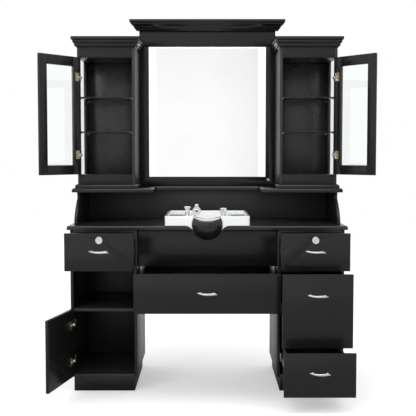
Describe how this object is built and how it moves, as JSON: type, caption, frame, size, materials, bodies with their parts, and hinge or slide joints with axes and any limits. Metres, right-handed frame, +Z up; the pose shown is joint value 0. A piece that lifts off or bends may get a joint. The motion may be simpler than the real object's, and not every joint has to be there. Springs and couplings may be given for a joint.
{
  "type": "shampoo station",
  "caption": "Black salon shampoo station with a wash bowl in its counter, drawers and a cupboard below, and a hutch with a lit mirror between glazed towers.",
  "frame": {"origin": "on the floor, under the middle of the station's bounding box as it stands open; the carcass front is 71 mm ahead of it", "axes": "+X to the right as seen from the front, +Y to the back, +Z up"},
  "size_m": [1.8498, 1.0435, 2.141],
  "materials": {
    "black_laminate": "satin black laminate on board",
    "drawer_board": "matt black board",
    "porcelain": "glossy white glaze",
    "black_rubber": "soft matt black rubber",
    "chrome": "polished chrome",
    "zinc_steel": "zinc-plated steel",
    "nickel": "warm nickel plating",
    "aluminium": "plain extruded aluminium",
    "clear_glass": "clear polished glass",
    "mirror_silver": "silvered mirror",
    "light_diffuser": "white light diffuser, lit from behind"
  },
  "bodies": {
    "cabinet": {"plinths": "black_laminate", "pedestal_outer_sides": "black_laminate", "pedestal_inner_sides": "black_laminate", "pedestal_boards": "black_laminate", "left_shelves": "black_laminate", "kneehole_rails": "black_laminate", "slide_channels": "zinc_steel", "hinge_arms": "nickel", "counter": "black_laminate", "bowl": "porcelain", "neck_rest": "black_rubber", "bowl_waste": "chrome", "tap_bodies": "chrome", "hutch_brackets": "black_laminate", "hutch_back": "black_laminate", "hutch_board": "black_laminate", "hutch_moulding": "black_laminate", "tower_outer_sides": "black_laminate", "tower_windows": "clear_glass", "tower_inner_sides": "black_laminate", "tower_backs": "black_laminate", "tower_rails": "black_laminate", "tower_shelves": "clear_glass", "shelf_pins": "chrome", "tower_crowns": "black_laminate", "mirror_panel": "black_laminate", "mirror_glass": "mirror_silver", "light_strips": "light_diffuser", "light_channels": "aluminium", "centre_frieze": "black_laminate", "centre_crown": "black_laminate"},
    "left_glass_door": {"left_glass_door_frame": "black_laminate", "left_glass_door_pane": "clear_glass", "left_glass_door_hinges": "nickel"},
    "right_glass_door": {"right_glass_door_frame": "black_laminate", "right_glass_door_pane": "clear_glass", "right_glass_door_hinges": "nickel"},
    "cupboard_door": {"lower_door": "black_laminate", "lower_door_fittings": "nickel"},
    "left_top_drawer": {"left_top_drawer_front": "black_laminate", "left_top_drawer_box": "drawer_board", "left_top_drawer_fittings": "chrome"},
    "right_top_drawer": {"right_top_drawer_front": "black_laminate", "right_top_drawer_box": "drawer_board", "right_top_drawer_fittings": "chrome"},
    "middle_drawer": {"middle_drawer_front": "black_laminate", "middle_drawer_box": "drawer_board", "middle_drawer_fittings": "chrome"},
    "bottom_drawer": {"bottom_drawer_front": "black_laminate", "bottom_drawer_box": "drawer_board", "bottom_drawer_fittings": "chrome"},
    "centre_drawer": {"centre_drawer_front": "black_laminate", "centre_drawer_box": "drawer_board", "centre_drawer_fittings": "chrome"},
    "left_lock": {"left_lock": "chrome"},
    "right_lock": {"right_lock": "chrome"},
    "light_button": {"light_button": "chrome"},
    "left_tap_knob": {"left_tap_knob": "chrome"},
    "right_tap_knob": {"right_tap_knob": "chrome"},
    "spray_head": {"spray_head": "chrome"}
  },
  "joints": [
    {"name": "left_glass_door_hinge", "type": "hinge", "parent": "cabinet", "child": "left_glass_door", "pos_m": [-0.738, 0.143, 1.542], "axis": [0, 0, -1], "range_deg": [-129.5, 5.5]},
    {"name": "right_glass_door_hinge", "type": "hinge", "parent": "cabinet", "child": "right_glass_door", "pos_m": [0.738, 0.143, 1.542], "axis": [0, 0, 1], "range_deg": [-129.5, 5.5]},
    {"name": "cupboard_door_hinge", "type": "hinge", "parent": "cabinet", "child": "cupboard_door", "pos_m": [-0.753, -0.082, 0.27675], "axis": [0, 0, -1], "range_deg": [-102, 10]},
    {"name": "left_top_drawer_slide", "type": "slide", "parent": "cabinet", "child": "left_top_drawer", "axis": [0, -1, 0], "range_m": [-0.188, 0.224]},
    {"name": "right_top_drawer_slide", "type": "slide", "parent": "cabinet", "child": "right_top_drawer", "axis": [0, -1, 0], "range_m": [-0.187, 0.225]},
    {"name": "middle_drawer_slide", "type": "slide", "parent": "cabinet", "child": "middle_drawer", "axis": [0, -1, 0], "range_m": [-0.297, 0.115]},
    {"name": "bottom_drawer_slide", "type": "slide", "parent": "cabinet", "child": "bottom_drawer", "axis": [0, -1, 0], "range_m": [-0.4055, 0.0065]},
    {"name": "centre_drawer_slide", "type": "slide", "parent": "cabinet", "child": "centre_drawer", "axis": [0, -1, 0], "range_m": [-0.262, 0.15]},
    {"name": "left_lock_turn", "type": "hinge", "parent": "left_top_drawer", "child": "left_lock", "pos_m": [-0.575, -0.277, 0.867], "axis": [0, -1, 0], "range_deg": [0, 90]},
    {"name": "right_lock_turn", "type": "hinge", "parent": "right_top_drawer", "child": "right_lock", "pos_m": [0.575, -0.276, 0.867], "axis": [0, -1, 0], "range_deg": [0, 90]},
    {"name": "light_button_push", "type": "slide", "parent": "cabinet", "child": "light_button", "axis": [0, 1, 0], "range_m": [0, 0.0025], "stiffness_N_per_m": 400},
    {"name": "left_tap_turn", "type": "hinge", "parent": "cabinet", "child": "left_tap_knob", "pos_m": [-0.112, 0.0195, 1.03], "axis": [0, 0, 1], "range_deg": [0, 90]},
    {"name": "right_tap_turn", "type": "hinge", "parent": "cabinet", "child": "right_tap_knob", "pos_m": [0.091, 0.0195, 1.01], "axis": [0, 0, 1], "range_deg": [0, 90]},
    {"name": "spray_lift", "type": "slide", "parent": "cabinet", "child": "spray_head", "axis": [0, 0, 1], "range_m": [0, 0.15]}
  ]
}
